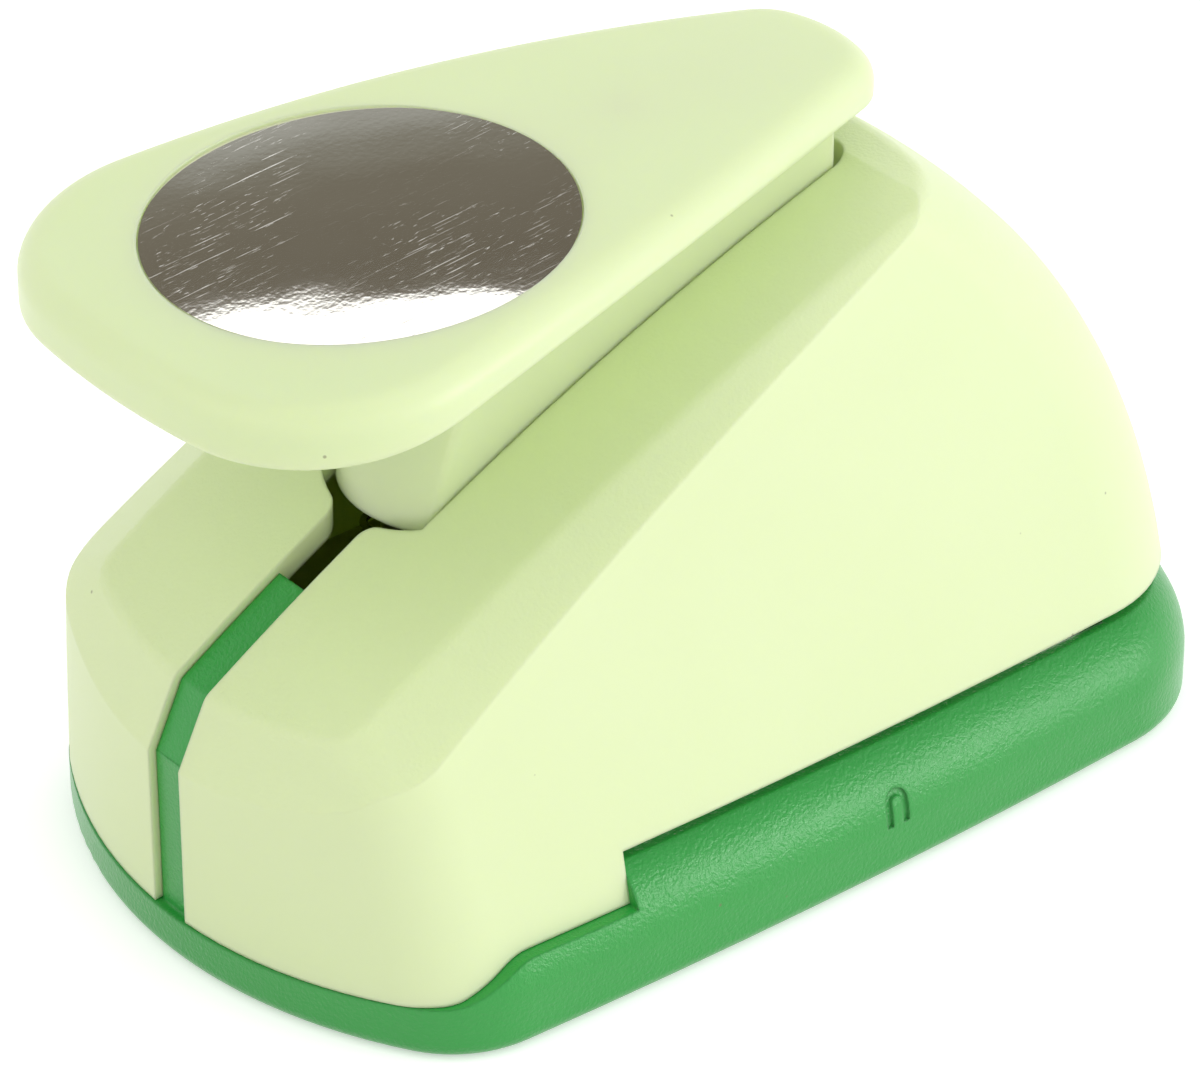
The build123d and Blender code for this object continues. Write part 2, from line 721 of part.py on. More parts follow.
with BuildPart() as frame_screws:
    add(screw_group(frame_screw_places, guide_bottom, frame_screw_length, 1))
save(frame_screws.part, "frame_screws")

# Punch: a hollow steel cylinder whose cutting face is hollowed, so that it shears from its ends
with BuildPart() as punch:
    radius = punch_diameter / 2 - punch_clearance
    add(holes([(punch_x, 0)], radius, punch_rest_z, carriage_bottom))
    add(holes([(punch_x, 0)], punch_bore_radius, punch_bore_floor, carriage_bottom), mode=Mode.SUBTRACT)
    with BuildSketch(Plane.XZ):
        with BuildLine():
            low_corner = (punch_x - radius, punch_rest_z)
            tall_corner = (punch_x + radius, punch_rest_z)
            ThreePointArc(low_corner, (punch_x, punch_rest_z + punch_hollow), tall_corner)
            Polyline(tall_corner, (punch_x, punch_rest_z - punch_hollow), low_corner)
        make_face()
    extrude(amount=base_width, both=True, mode=Mode.SUBTRACT)
    screw_end = carriage_top - carriage_screw_length - fit_gap
    add(holes(carriage_screw_places, screw_radius + pin_clearance, screw_end, base_length),
        mode=Mode.SUBTRACT)
save(punch.part, "punch")

# Punch carriage: the plate that the lever presses, with a notch for the lever's arm
with BuildPart() as punch_carriage:
    with BuildSketch(Plane.XY.offset(carriage_bottom)):
        with Locations((punch_x, 0)):
            RectangleRounded(2 * carriage_reach, 2 * carriage_half_width, carriage_corner)
    extrude(amount=carriage_thickness)
    add(level_box(carriage_notch_x, base_length, carriage_notch_half, 0, base_length), mode=Mode.SUBTRACT)
    add(holes(pin_places, guide_pin_hole_radius, 0, base_length), mode=Mode.SUBTRACT)
    add(holes(carriage_screw_places, screw_radius + screw_clearance, 0, base_length), mode=Mode.SUBTRACT)
    add(head_seats(carriage_screw_places, carriage_top, -1), mode=Mode.SUBTRACT)
save(punch_carriage.part, "punch_carriage")

with BuildPart() as carriage_screws:
    add(screw_group(carriage_screw_places, carriage_top, carriage_screw_length, -1))
save(carriage_screws.part, "carriage_screws")

with BuildPart() as wear_plate:
    add(level_box(punch_x - wear_half, punch_x + wear_half, wear_half, carriage_top, wear_top))
save(wear_plate.part, "wear_plate")

# Pivot: a pin through the ears and the lever, held by a clip at each end, with a washer inside
clip_low = ear_low + ear_thickness
with BuildPart() as pivot_pin:
    with Locations((pivot_x, 0, pivot_z)):
        Cylinder(pivot_pin_radius, 2 * (clip_low + pin_overhang), rotation=(90, 0, 0))
    groove_radius = pivot_pin_radius - clip_groove_depth
    for side in (-1, 1):
        with BuildSketch(Plane.XZ.offset(-side * (clip_low + touch_gap))):
            with Locations((pivot_x, pivot_z)):
                Circle(2 * pivot_pin_radius)
                Circle(groove_radius, mode=Mode.SUBTRACT)
        extrude(amount=-side * (clip_thickness + touch_gap), mode=Mode.SUBTRACT)
save(pivot_pin.part, "pivot_pin")

for side, name in ((-1, "pin_clip_right"), (1, "pin_clip_left")):
    with BuildPart() as pin_clip:
        with BuildSketch(Plane.XZ.offset(-side * (clip_low + touch_gap))):
            with Locations((pivot_x, pivot_z)):
                Circle(clip_radius)
                Circle(groove_radius + pin_clearance, mode=Mode.SUBTRACT)
            with Locations((pivot_x, pivot_z - clip_radius)):
                Rectangle(clip_mouth, 2 * clip_radius, mode=Mode.SUBTRACT)
        extrude(amount=-side * clip_thickness)
    save(pin_clip.part, name)

for side, name in ((-1, "pin_washer_right"), (1, "pin_washer_left")):
    with BuildPart() as pin_washer:
        with BuildSketch(Plane.XZ.offset(-side * (ear_low - touch_gap))):
            with Locations((pivot_x, pivot_z)):
                Circle(washer_radius)
                Circle(pivot_pin_radius + pin_clearance, mode=Mode.SUBTRACT)
        extrude(amount=side * washer_thickness)
    save(pin_washer.part, name)

# Paddle: a thick rounded blade over a hollow web, moulded in one piece
web_low_x = low_block
web_profile = [(web_low_x, web_toe_z), (web_toe_x, web_toe_z), (web_toe_x + web_toe_step, web_belly_z),
               (arm_start_x - fit_gap, web_belly_z), (arm_start_x - fit_gap, arm_top_z),
               (web_rear_x, arm_top_z), (web_rear_x, paddle_top_z(web_rear_x) - slab_mid),
               (web_low_x, paddle_top_z(web_low_x) - slab_mid)]
cavity_rear = web_rear_x - web_wall
web_rim_x = pivot_x - web_front_radius
cavity_profile = [(web_low_x, 0), (cavity_rear, 0), (cavity_rear, paddle_top_z(cavity_rear) - web_below_top),
                  (web_rim_x, paddle_top_z(web_rim_x) - web_below_top),
                  (web_low_x, paddle_top_z(web_rim_x) - web_below_top)]
with BuildPart() as paddle:
    add(plan_outline(0, paddle_low_x, paddle_tall_x, paddle_low_half, paddle_tall_half, paddle_mid_half,
                     paddle_low_bow, paddle_tall_bow, paddle_low_corner, paddle_tall_corner))
    extrude(amount=base_length)
    with BuildSketch(Plane.XZ) as blade_side:
        with BuildLine():
            low_x = paddle_low_x - paddle_top_round
            tall_x = paddle_tall_x + paddle_top_round
            low_mid = (low_x + disc_x) / 2
            tall_mid = (disc_x + tall_x) / 2
            ThreePointArc((low_x, paddle_top_z(low_x)), (low_mid, paddle_top_z(low_mid)), (disc_x, disc_z))
            ThreePointArc((disc_x, disc_z), (tall_mid, paddle_top_z(tall_mid)),
                          (tall_x, paddle_top_z(tall_x)))
            under_waist = ThreePointArc(paddle_under(paddle_pad_x, paddle_pad_thickness),
                                        paddle_under(paddle_waist_x, paddle_waist_thickness),
                                        paddle_under(tall_x, paddle_tall_thickness))
            under_pad = TangentArc(under_waist @ 0, paddle_under(low_x, paddle_low_thickness),
                                   tangent=-(under_waist % 0))
            Line(under_pad @ 1, (low_x, paddle_top_z(low_x)))
            Line(under_waist @ 1, (tall_x, paddle_top_z(tall_x)))
        make_face()
    extrude(amount=base_width, both=True, mode=Mode.INTERSECT)
    walls = [face for face in paddle.faces() if abs(face.normal_at().Z) < level_share]
    tops = [face for face in paddle.faces() if face.normal_at().Z > level_share]
    undersides = [face for face in paddle.faces() if face.normal_at().Z < -level_share]
    upper_rim = shared_edges(tops, walls)
    lower_rim = shared_edges(undersides, walls)
    fillet(lower_rim, paddle_bottom_round)
    fillet(upper_rim, paddle_top_round)
    add(web_drum(0, web_half_width) & side_prism(web_profile, base_width))
    cavity = web_drum(web_wall, web_half_width - web_wall) & side_prism(cavity_profile, base_width)
    add(cavity, mode=Mode.SUBTRACT)
    # the flat, shallow recess of the foil disc
    disc_plane = Pos(disc_x, 0, disc_z) * Rot(0, -paddle_tilt_angle, 0)
    disc_pocket = Cylinder(punch_diameter / 2 + disc_gap, overrun,
                           align=(Align.CENTER, Align.CENTER, Align.MIN), mode=Mode.PRIVATE)
    add(disc_plane * Pos(0, 0, -disc_recess) * disc_pocket, mode=Mode.SUBTRACT)
    for x in paddle_screw_xs:
        hole_top = paddle_top_z(x) - web_below_top + paddle_screw_bite + fit_gap
        add(holes([(x, 0)], screw_radius + pin_clearance, web_belly_z, hole_top), mode=Mode.SUBTRACT)
save(paddle.part, "paddle")

# Lever core: the stiff arm inside the web, with the wide hub part below it
core_rear = cavity_rear - slot_gap
core_profile = [(web_low_x, core_bottom_z), (core_rear, core_bottom_z),
                (core_rear, paddle_top_z(core_rear) - web_below_top - slot_gap),
                (web_rim_x, paddle_top_z(web_rim_x) - web_below_top - slot_gap),
                (web_low_x, paddle_top_z(web_rim_x) - web_below_top - slot_gap)]
arm_top = arm_top_z - fit_gap
arm_profile = [(arm_start_x, arm_top), (arm_start_x, arm_chin_z), (arm_block_low_x, arm_block_z),
               (arm_block_tall_x, arm_block_z), arm_knee, arm_heel, (pivot_x, pivot_z), arm_back,
               (arm_shoulder_x, arm_top)]
with BuildPart() as lever_core:
    inner = web_drum(web_wall + slot_gap, lever_half_width) & side_prism(core_profile, base_width)
    add(inner)
    add(side_prism(arm_profile, arm_half_width))
    with Locations((pivot_x, 0, pivot_z)):
        Cylinder(hub_radius, 2 * arm_half_width, rotation=(90, 0, 0))
        Cylinder(pivot_pin_radius + pin_clearance, base_width, rotation=(90, 0, 0), mode=Mode.SUBTRACT)
    with Locations((punch_x, 0, press_pin_z)):
        Cylinder(press_pin_radius + touch_gap / 2, base_width, rotation=(90, 0, 0), mode=Mode.SUBTRACT)
    for x in paddle_screw_xs:
        head_z = paddle_top_z(x) - web_below_top + paddle_screw_bite - paddle_screw_length
        add(holes([(x, 0)], screw_radius + screw_clearance, 0, base_length), mode=Mode.SUBTRACT)
        add(holes([(x, 0)], screw_head_radius + screw_clearance, 0, head_z), mode=Mode.SUBTRACT)
        add(head_seats([(x, 0)], head_z, 1), mode=Mode.SUBTRACT)
save(lever_core.part, "lever_core")

with BuildPart() as paddle_screws:
    for x in paddle_screw_xs:
        head_z = paddle_top_z(x) - web_below_top + paddle_screw_bite - paddle_screw_length
        add(screw_group([(x, 0)], head_z, paddle_screw_length, 1))
save(paddle_screws.part, "paddle_screws")

with BuildPart() as press_pin:
    with Locations((punch_x, 0, press_pin_z)):
        Cylinder(press_pin_radius, 2 * press_pin_half_length, rotation=(90, 0, 0))
save(press_pin.part, "press_pin")

with BuildPart() as foil_disc:
    disc_blank = Cylinder(punch_diameter / 2, disc_thickness,
                          align=(Align.CENTER, Align.CENTER, Align.MIN), mode=Mode.PRIVATE)
    add(disc_plane * Pos(0, 0, -disc_recess) * disc_blank)
save(foil_disc.part, "foil_disc")
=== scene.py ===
"""Looks of a lever circle punch: moulded plastic shells, a foil disc on the paddle and steel works inside."""

import logging
import math
from dataclasses import dataclass
from enum import Enum

import bmesh
import bpy
from mathutils import Matrix, Vector

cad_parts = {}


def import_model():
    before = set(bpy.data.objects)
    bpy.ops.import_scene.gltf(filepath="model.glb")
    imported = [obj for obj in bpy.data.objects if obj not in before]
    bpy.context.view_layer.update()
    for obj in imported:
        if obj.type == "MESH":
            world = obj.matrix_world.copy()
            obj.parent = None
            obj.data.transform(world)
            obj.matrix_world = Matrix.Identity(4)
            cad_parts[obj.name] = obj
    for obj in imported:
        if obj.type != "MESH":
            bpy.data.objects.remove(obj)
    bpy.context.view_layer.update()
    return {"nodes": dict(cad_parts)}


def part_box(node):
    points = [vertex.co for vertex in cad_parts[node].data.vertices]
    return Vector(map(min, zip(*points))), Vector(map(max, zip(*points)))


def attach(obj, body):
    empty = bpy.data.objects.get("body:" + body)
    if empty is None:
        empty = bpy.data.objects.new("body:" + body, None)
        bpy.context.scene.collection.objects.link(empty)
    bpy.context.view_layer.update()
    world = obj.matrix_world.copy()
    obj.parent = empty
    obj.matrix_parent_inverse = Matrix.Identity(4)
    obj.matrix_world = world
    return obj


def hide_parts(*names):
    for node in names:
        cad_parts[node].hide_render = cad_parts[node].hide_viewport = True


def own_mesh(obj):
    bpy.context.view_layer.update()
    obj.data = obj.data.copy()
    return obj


LOG = logging.getLogger("circle_punch")
MM = 0.001
WHITE = (1.0, 1.0, 1.0, 1.0)

Socket = bpy.types.NodeSocket
Tree = bpy.types.NodeTree
Span = tuple[float, float]
Triple = tuple[float, float, float]


class Body(Enum):
    """The punch's rigid group that the wound springs stand on, as the frame names it."""

    FRAME = "frame"


class Texture(Enum):
    """How the mould's wall was finished, which the plastic copies."""

    SPARK = "spark eroded all over"
    SPARK_ABOVE = "spark eroded on the faces that look up, polished on the side walls"
    POLISHED = "fine polished"


def linear(colour: str) -> tuple[float, float, float, float]:
    """Turn an sRGB hex colour into Blender's linear colour, by the curve of the sRGB standard.

    Args:
        colour: Six hex digits after a hash, such as "#47A34A".

    Returns:
        Red, green, blue and an alpha of one.
    """
    parts = [int(colour[i : i + 2], 16) / 255 for i in (1, 3, 5)]
    done = [c / 12.92 if c <= 0.04045 else ((c + 0.055) / 1.055) ** 2.4 for c in parts]
    return (done[0], done[1], done[2], 1.0)


def grey(level: float) -> tuple[float, float, float, float]:
    """Make a neutral colour from one linear level."""
    return (level, level, level, 1.0)


def per_mm(size_mm: float) -> float:
    """Noise scale that gives a pattern of this size, for coordinates in metres."""
    return 1.0 / (size_mm * MM)


def set_inputs(tree: Tree, node: bpy.types.Node, inputs: dict) -> None:
    """Set or link a node's inputs.

    Args:
        tree: The node tree that holds the node.
        node: The node to set up.
        inputs: Input name or index to a plain value, or to another node's output socket.
    """
    for name, value in inputs.items():
        if isinstance(value, Socket):
            tree.links.new(value, node.inputs[name])
        else:
            node.inputs[name].default_value = value


def add_node(tree: Tree, kind: str, inputs: dict | None = None, **settings: object) -> bpy.types.Node:
    """Add a shader node, set its properties, and set or link its inputs.

    Args:
        tree: The node tree that gets the node.
        kind: The node's type, such as "ShaderNodeTexNoise".
        inputs: Input name or index to a plain value, or to another node's output socket.
        settings: Properties of the node itself.

    Returns:
        The new node.
    """
    node = tree.nodes.new(kind)
    for name, value in settings.items():
        setattr(node, name, value)
    set_inputs(tree, node, inputs or {})
    return node


def noise(tree: Tree, spot: Socket, scale: float, detail: float, roughness: float = 0.5,
          distortion: float = 0.0) -> Socket:
    """Add smooth noise in space.

    Args:
        tree: The node tree that gets the node.
        spot: The coordinates.
        scale: Cells per unit of the coordinates.
        detail: How many finer layers lie over the first.
        roughness: How strong the finer layers are.
        distortion: How much the cells are bent.

    Returns:
        A value from 0 to 1.
    """
    inputs = {"Vector": spot, "Scale": scale, "Detail": detail, "Roughness": roughness,
              "Distortion": distortion}
    return add_node(tree, "ShaderNodeTexNoise", inputs).outputs["Fac"]


def ranged(tree: Tree, value: Socket, source: Span = (0.0, 1.0), target: Span = (0.0, 1.0)) -> Socket:
    """Carry a value from one range over to another, held at both ends.

    Args:
        tree: The node tree that gets the node.
        value: The value to carry over.
        source: Its range.
        target: What the ends of that range become.

    Returns:
        The new value.
    """
    inputs = {"Value": value, "From Min": source[0], "From Max": source[1],
              "To Min": target[0], "To Max": target[1]}
    return add_node(tree, "ShaderNodeMapRange", inputs).outputs["Result"]


def maths(tree: Tree, operation: str, *terms: Socket | float) -> Socket:
    """Work out one operation, such as "ADD" or "MULTIPLY", on two or three terms."""
    return add_node(tree, "ShaderNodeMath", dict(enumerate(terms)), operation=operation).outputs["Value"]


def blend(tree: Tree, share: Socket, first: Socket | tuple, second: Socket | tuple) -> Socket:
    """Mix two colours: at a share of 0 it is the first, and at 1 the second."""
    return add_node(tree, "ShaderNodeMix", {0: share, 6: first, 7: second}, data_type="RGBA").outputs[2]


def bump(tree: Tree, height: Socket, depth_mm: float, over: Socket | None = None,
         strength: float = 1.0) -> Socket:
    """Tilt the surface's normal as a relief would.

    Args:
        tree: The node tree that gets the node.
        height: The relief, from 0 to 1.
        depth_mm: Its full depth.
        over: The normal that it is laid over, or None for the surface's own.
        strength: Share of the tilt that is used.

    Returns:
        The tilted normal.
    """
    inputs = {"Height": height, "Strength": strength, "Distance": depth_mm * MM}
    if over is not None:
        inputs["Normal"] = over
    return add_node(tree, "ShaderNodeBump", inputs).outputs["Normal"]


def blank(name: str) -> tuple[bpy.types.Material, Tree, bpy.types.Node]:
    """Make an empty material with its output and a Principled shader.

    Args:
        name: The material's name.

    Returns:
        The material, its tree and its Principled node.
    """
    material = bpy.data.materials.new(name)
    material.use_nodes = True
    tree = material.node_tree
    tree.nodes.clear()
    shader = add_node(tree, "ShaderNodeBsdfPrincipled")
    add_node(tree, "ShaderNodeOutputMaterial", {"Surface": shader.outputs["BSDF"]})
    return material, tree, shader


@dataclass(frozen=True)
class MouldedPlastic:
    """Injection-moulded plastic, coloured in the mass. Sizes are in millimetres.

    The grain is drawn a few times coarser and deeper than a spark-eroded wall has it. The photo shows about
    ten pixels to the millimetre, and a grain of the real size would be lost in it.
    """

    name: str
    colour: str
    shade: str
    roughness: float
    texture: Texture
    # the mould's own relief, and how round its edges are
    grain: float = 0.38
    grain_depth: float = 0.09
    grain_roughness: float = 0.6
    edge: float = 0.5
    edge_samples: int = 6
    # share of the light that enters the wall, and how deep it gets: less so for blue, which warms the glow
    glow: float = 0.0
    glow_depth: float = 2.0
    glow_reach: Triple = (1.0, 1.0, 0.45)
    refraction: float = 1.5
    # melt flow leaves faint clouds a centimetre or two across, duller in one place than in another
    cloud: float = 22.0
    gloss_drift: Span = (-0.04, 0.06)
    # specks of burnt resin: one to each cell, and its core and rim as shares of the cell
    speck_cell: float = 9.0
    speck_edge: Span = (0.012, 0.022)
    speck_share: float = 0.55
    speck_colour: str = "#6B6446"
    # very shallow waves from sink marks over the ribs behind the wall
    sink: float = 14.0
    sink_depth: float = 0.08
    sink_strength: float = 0.25
    # a face looks up from this steepness on, and a side wall keeps this share of the grain
    upward: Span = (0.3, 0.5)
    wall_share: float = 0.12

    def build(self) -> bpy.types.Material:
        """Make the material: soft colour drift, mould texture, and light that enters a thin pale wall.

        Returns:
            The finished material.
        """
        material, tree, shader = blank(self.name)
        place = add_node(tree, "ShaderNodeTexCoord")
        spot = place.outputs["Object"]
        cloud = noise(tree, spot, per_mm(self.cloud), detail=2.0)
        tint = blend(tree, cloud, linear(self.colour), linear(self.shade))
        speck = add_node(tree, "ShaderNodeTexVoronoi", {"Vector": spot, "Scale": per_mm(self.speck_cell)})
        near = ranged(tree, speck.outputs["Distance"], self.speck_edge, (self.speck_share, 0.0))
        # moulds are broken at their edges, so no edge catches the light as a knife would
        soft = add_node(tree, "ShaderNodeBevel", {"Radius": self.edge * MM}, samples=self.edge_samples)
        height = noise(tree, spot, per_mm(self.grain), detail=2.0, roughness=self.grain_roughness)
        if self.texture is Texture.SPARK_ABOVE:
            facing = add_node(tree, "ShaderNodeSeparateXYZ", {"Vector": place.outputs["Normal"]})
            kept = ranged(tree, facing.outputs["Z"], self.upward, (self.wall_share, 1.0))
            height = maths(tree, "MULTIPLY", height, kept)
        dent = bump(tree, height, self.grain_depth, soft.outputs["Normal"])
        sink = noise(tree, spot, per_mm(self.sink), detail=0.0)
        glossy, dull = (self.roughness + drift for drift in self.gloss_drift)
        set_inputs(tree, shader, {
            "Base Color": blend(tree, near, tint, linear(self.speck_colour)),
            "Roughness": ranged(tree, cloud, target=(glossy, dull)),
            "Normal": bump(tree, sink, self.sink_depth, dent, self.sink_strength),
            "IOR": self.refraction,
            "Subsurface Weight": self.glow,
            "Subsurface Radius": self.glow_reach,
            "Subsurface Scale": self.glow_depth * MM,
        })
        return material


@dataclass(frozen=True)
class MirrorFoil:
    """Self-adhesive polyester film with a vacuum-deposited aluminium layer. Sizes are in millimetres.

    The scratches are drawn wider than real hairlines, which would be thinner than a pixel of the photo.
    """

    name: str
    colour: str
    # orange peel from the glue, and a slow warp of the film
    peel: float = 0.6
    peel_depth: float = 0.0005
    warp: float = 12.0
    warp_depth: float = 0.012
    # a scratch shows in the top of a cell that is four times as wide
    scratch: float = 0.07
    cell_widths: float = 4.0
    cell_top: Span = (0.665, 0.7)
    cell_detail: float = 3.0
    cell_roughness: float = 0.7
    cell_bend: float = 0.15
    # the turn of each pass of scratches in radians, and its length
    passes: tuple[Span, ...] = ((0.35, 15.0), (1.25, 9.0), (2.3, 18.0), (2.9, 5.0), (0.75, 3.0), (1.9, 2.5))
    # wear comes in patches a centimetre or two wide, and some of it is left between them
    patch: float = 13.0
    patch_edge: Span = (0.4, 0.58)
    patch_least: float = 0.12
    # roughness of the clear mirror and of a scratch
    gloss: Span = (0.02, 0.3)

    def build(self) -> bpy.types.Material:
        """Make the material: a mirror with orange peel, slow warp and fine scratches each way.

        Returns:
            The finished material.
        """
        material, tree, shader = blank(self.name)
        spot = add_node(tree, "ShaderNodeTexCoord").outputs["Object"]
        slow = bump(tree, noise(tree, spot, per_mm(self.warp), detail=1.0), self.warp_depth)
        fine = bump(tree, noise(tree, spot, per_mm(self.peel), detail=1.0), self.peel_depth, over=slow)
        lines = None
        for turn, length in self.passes:
            # long, narrow cells make straight scratches; each pass runs another way
            stretch = (per_mm(length), per_mm(self.scratch * self.cell_widths), 1.0)
            aim = add_node(tree, "ShaderNodeMapping", {
                "Vector": spot, "Rotation": (0.0, 0.0, turn), "Scale": stretch})
            cell = noise(tree, aim.outputs["Vector"], 1.0, self.cell_detail, self.cell_roughness,
                         self.cell_bend)
            line = ranged(tree, cell, self.cell_top)
            lines = line if lines is None else maths(tree, "MAXIMUM", lines, line)
        wear = noise(tree, spot, per_mm(self.patch), detail=0.0)
        worn = ranged(tree, wear, self.patch_edge, (self.patch_least, 1.0))
        set_inputs(tree, shader, {
            "Base Color": linear(self.colour),
            "Metallic": 1.0,
            "Roughness": ranged(tree, maths(tree, "MULTIPLY", lines, worn), target=self.gloss),
            "Normal": fine,
        })
        return material


@dataclass(frozen=True)
class WorkedSteel:
    """Steel with the marks of its making. Sizes are in millimetres: a line's width, length and depth."""

    name: str
    colour: str
    roughness: float
    line: float
    run: float
    depth: float
    strength: float = 0.6
    gloss_drift: Span = (-0.06, 0.08)

    def build(self) -> bpy.types.Material:
        """Make the material: bare metal with lines as a grinding wheel or a drawing die leaves them.

        Returns:
            The finished material.
        """
        material, tree, shader = blank(self.name)
        spot = add_node(tree, "ShaderNodeTexCoord").outputs["Object"]
        stretch = (per_mm(self.run), per_mm(self.line), per_mm(self.line))
        aim = add_node(tree, "ShaderNodeMapping", {"Vector": spot, "Scale": stretch})
        lines = noise(tree, aim.outputs["Vector"], 1.0, detail=2.0)
        glossy, dull = (self.roughness + drift for drift in self.gloss_drift)
        set_inputs(tree, shader, {
            "Base Color": linear(self.colour),
            "Metallic": 1.0,
            "Roughness": ranged(tree, lines, target=(glossy, dull)),
            "Normal": bump(tree, lines, self.depth, strength=self.strength),
        })
        return material


# Polypropylene, moulded against a spark-eroded wall: a deep leaf green with a fine, sparkling satin grain
GREEN_BASE = MouldedPlastic("polypropylene_green_spark_moulded", "#299E3F", "#25973B", 0.29, Texture.SPARK)
# ABS in a pale lime, spark-eroded on top and polished at the sides: soft satin light and a little glow
PALE_SHELL = MouldedPlastic("abs_pale_lime_spark_top_moulded", "#E4F2C0", "#E1EFBA", 0.42,
                            Texture.SPARK_ABOVE, grain_depth=0.06, glow=0.25, glow_depth=3.0)
# The same ABS from a polished mould: the paddle looks smoother and slightly milky
PALE_PADDLE = MouldedPlastic("abs_pale_lime_polished_moulded", "#E2F0C0", "#DFEDBA", 0.38,
                             Texture.POLISHED, grain=0.5, grain_depth=0.0015, glow=0.45, glow_depth=4.0)
# Glass-filled nylon for the hidden core: dark, dull and slightly rough
DARK_CORE = MouldedPlastic("glass_filled_nylon_moulded", "#3B3F38", "#343831", 0.55, Texture.SPARK)
# Metallised film: a slightly brown mirror with orange peel from its glue and many fine scratches
DISC_FOIL = MirrorFoil("metallised_polyester_film", "#EFEDE6")
# Tool steel plates, surface ground: straight fine lines along the plate, grey and half bright
GROUND_STEEL = WorkedSteel("tool_steel_surface_ground", "#C3C1BB", 0.3, line=0.12, run=6.0, depth=0.002)
# Screws and clips with bright zinc plating: smooth and light grey
ZINC_PLATE = WorkedSteel("steel_bright_zinc_plated", "#CFD0CE", 0.2, line=0.6, run=0.9, depth=0.001)
# Patented spring wire, drawn through a die: dark bright lines along the wire
SPRING_WIRE = WorkedSteel("spring_steel_drawn", "#A9A9A6", 0.24, line=0.2, run=1.5, depth=0.001)


def dress(nodes: dict[str, bpy.types.Object], names: list[str], material: bpy.types.Material) -> None:
    """Give some CAD nodes one material and report each.

    Args:
        nodes: The frame's nodes by name.
        names: The nodes to dress.
        material: The material for all of them.
    """
    for name in names:
        slots = nodes[name].data.materials
        slots.clear()
        slots.append(material)
        LOG.info("dressed %s in %s", name, material.name)


@dataclass
class Shells:
    """The shells that show, the green base with its cover and the pale housing, and the spacer in them."""

    nodes: dict[str, bpy.types.Object]

    def build(self) -> None:
        """Dress the base, the cover, the housing and the throat spacer."""
        dress(self.nodes, ["base", "bottom_cover"], GREEN_BASE.build())
        dress(self.nodes, ["housing"], PALE_SHELL.build())
        dress(self.nodes, ["throat_spacer"], DARK_CORE.build())


@dataclass
class Lever:
    """The paddle, its stiff core, and the foil disc that shows what the punch cuts."""

    nodes: dict[str, bpy.types.Object]

    def build(self) -> None:
        """Dress the paddle, the core, the disc, the press pin and the paddle's screws."""
        dress(self.nodes, ["paddle"], PALE_PADDLE.build())
        dress(self.nodes, ["lever_core"], DARK_CORE.build())
        dress(self.nodes, ["foil_disc"], DISC_FOIL.build())
        dress(self.nodes, ["press_pin"], GROUND_STEEL.build())
        dress(self.nodes, ["paddle_screws"], ZINC_PLATE.build())


@dataclass
class Works:
    """The steel works: plates, punch, carriage, pins and screws."""

    nodes: dict[str, bpy.types.Object]

    def build(self) -> None:
        """Dress the ground plates and the plated small parts."""
        ground = ["die_plate", "guide_plate", "punch", "punch_carriage", "wear_plate", "pivot_pin",
                  "guide_pins"]
        dress(self.nodes, ground, GROUND_STEEL.build())
        plated = ["cover_screws", "die_screws", "housing_screws", "frame_screws", "carriage_screws",
                  "pin_clip_left", "pin_clip_right", "pin_washer_left", "pin_washer_right"]
        dress(self.nodes, plated, ZINC_PLATE.build())


